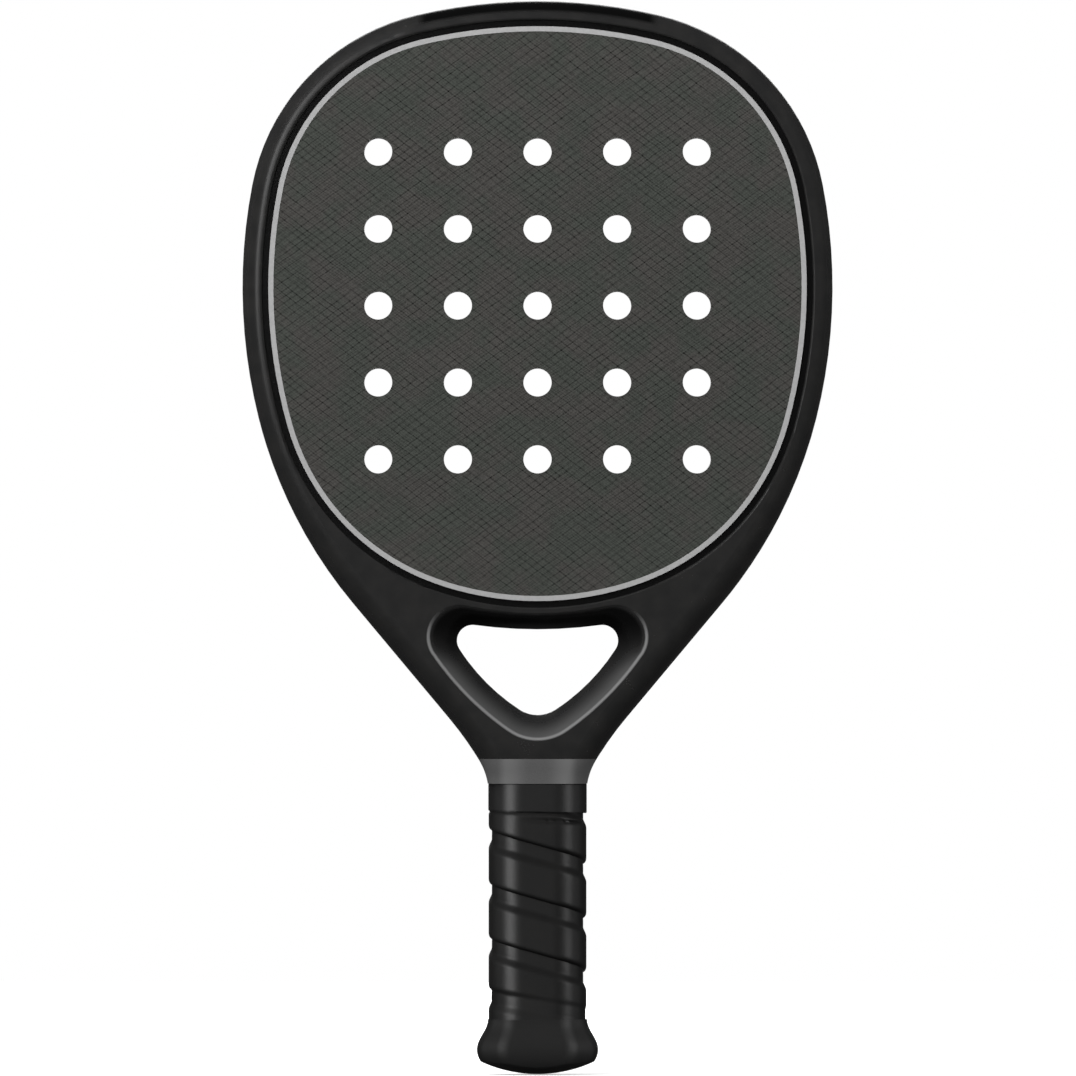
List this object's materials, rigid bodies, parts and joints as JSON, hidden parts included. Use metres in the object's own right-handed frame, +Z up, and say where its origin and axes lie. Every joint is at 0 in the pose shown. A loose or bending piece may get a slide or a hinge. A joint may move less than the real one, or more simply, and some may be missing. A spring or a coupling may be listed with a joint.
{
  "type": "padel racket",
  "caption": "Padel racket with a perforated teardrop face, a hollow carbon frame, an open heart in the throat, a spiral-wrapped grip and a flared butt cap.",
  "frame": {"origin": "centre of the domed end of the butt cap, the lowest point of the racket held upright", "axes": "+Z up the handle to the tip, +X across the width, +Y through the thickness; the front face looks along -Y"},
  "size_m": [0.25, 0.038, 0.455],
  "materials": {
    "frame_carbon": "satin",
    "light_foam": "matt",
    "eva_foam": "matt",
    "glass_fibre": "satin",
    "face_carbon": "satin",
    "grey_film": "satin",
    "grey_collar": "satin",
    "grip_tape": "matt",
    "grip_skin": "matt",
    "grip_cushion": "matt",
    "pallet_foam": "matt",
    "cap_plastic": "satin",
    "tack_steel": "brushed",
    "plug_rubber": "matt",
    "ferrule_plastic": "satin"
  },
  "bodies": {
    "root": {"frame_shell": "frame_carbon", "head_foam": "light_foam", "bridge_foam": "light_foam", "throat_foam": "light_foam", "handle_foam": "light_foam", "core": "eva_foam", "front_glass_ply": "glass_fibre", "back_glass_ply": "glass_fibre", "front_carbon_ply": "face_carbon", "back_carbon_ply": "face_carbon", "front_border_line": "grey_film", "back_border_line": "grey_film", "collar": "grey_collar", "finishing_tape": "grip_tape", "overgrip": "grip_skin", "base_grip": "grip_cushion", "front_pallet": "pallet_foam", "back_pallet": "pallet_foam", "butt_cap": "cap_plastic", "cap_tacks": "tack_steel", "end_plug": "plug_rubber", "cord_ferrule": "ferrule_plastic"}
  },
  "joints": []
}
